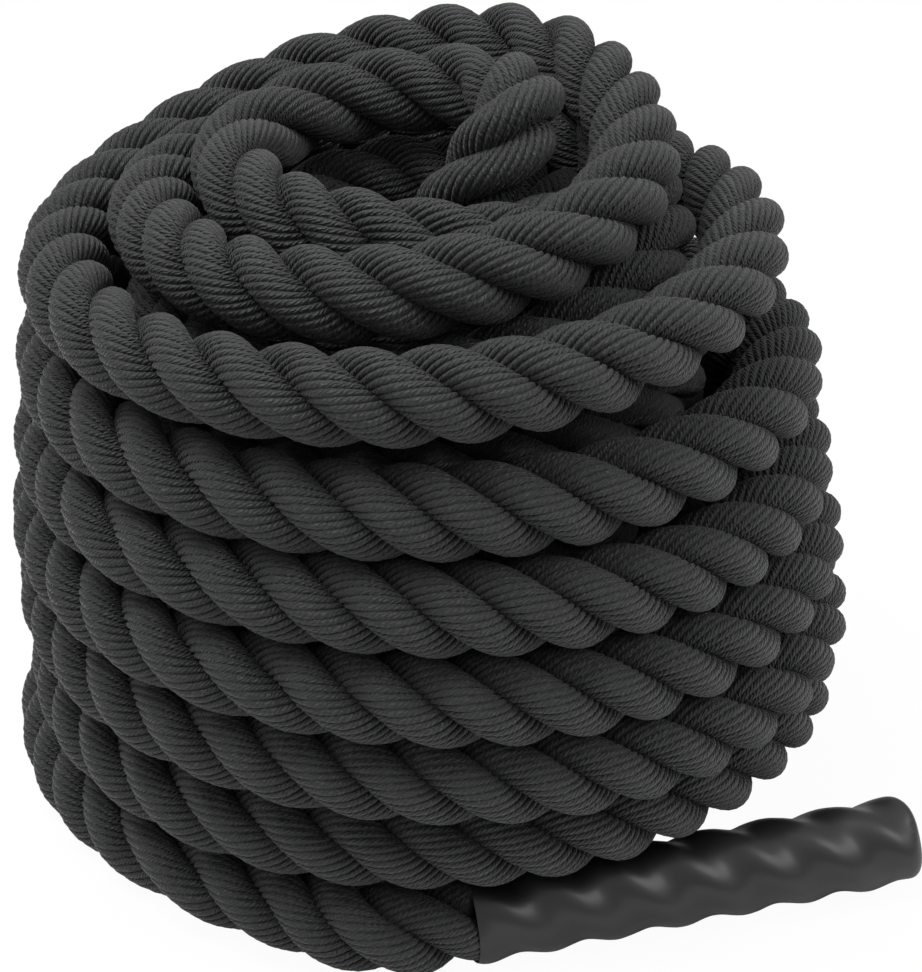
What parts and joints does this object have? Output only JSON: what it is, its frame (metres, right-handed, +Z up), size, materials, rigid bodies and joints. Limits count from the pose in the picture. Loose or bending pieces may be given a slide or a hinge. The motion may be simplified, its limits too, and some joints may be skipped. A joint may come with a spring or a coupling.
{
  "type": "battle rope",
  "caption": "Thick laid training rope wound into a tall free-standing coil, with a closed shrunk sleeve as the grip on each end.",
  "frame": {"origin": "on the floor, under the middle of the whole part's box", "axes": "+X to the right of the picture, the way the lower grip points, +Y away from the camera, +Z up"},
  "size_m": [0.4101, 0.3862, 0.3329],
  "materials": {
    "rope_fibre": "matt black twisted fibre, ribbed by its yarns",
    "binding_tape": "matt black tape",
    "shrunk_sleeve": "satin black shrunk plastic"
  },
  "bodies": {
    "root": {"rope_coil": "rope_fibre", "lower_strand_1": "rope_fibre", "lower_strand_2": "rope_fibre", "lower_strand_3": "rope_fibre", "lower_binding": "binding_tape", "lower_sleeve": "shrunk_sleeve", "upper_strand_1": "rope_fibre", "upper_strand_2": "rope_fibre", "upper_strand_3": "rope_fibre", "upper_binding": "binding_tape", "upper_sleeve": "shrunk_sleeve"}
  },
  "joints": []
}
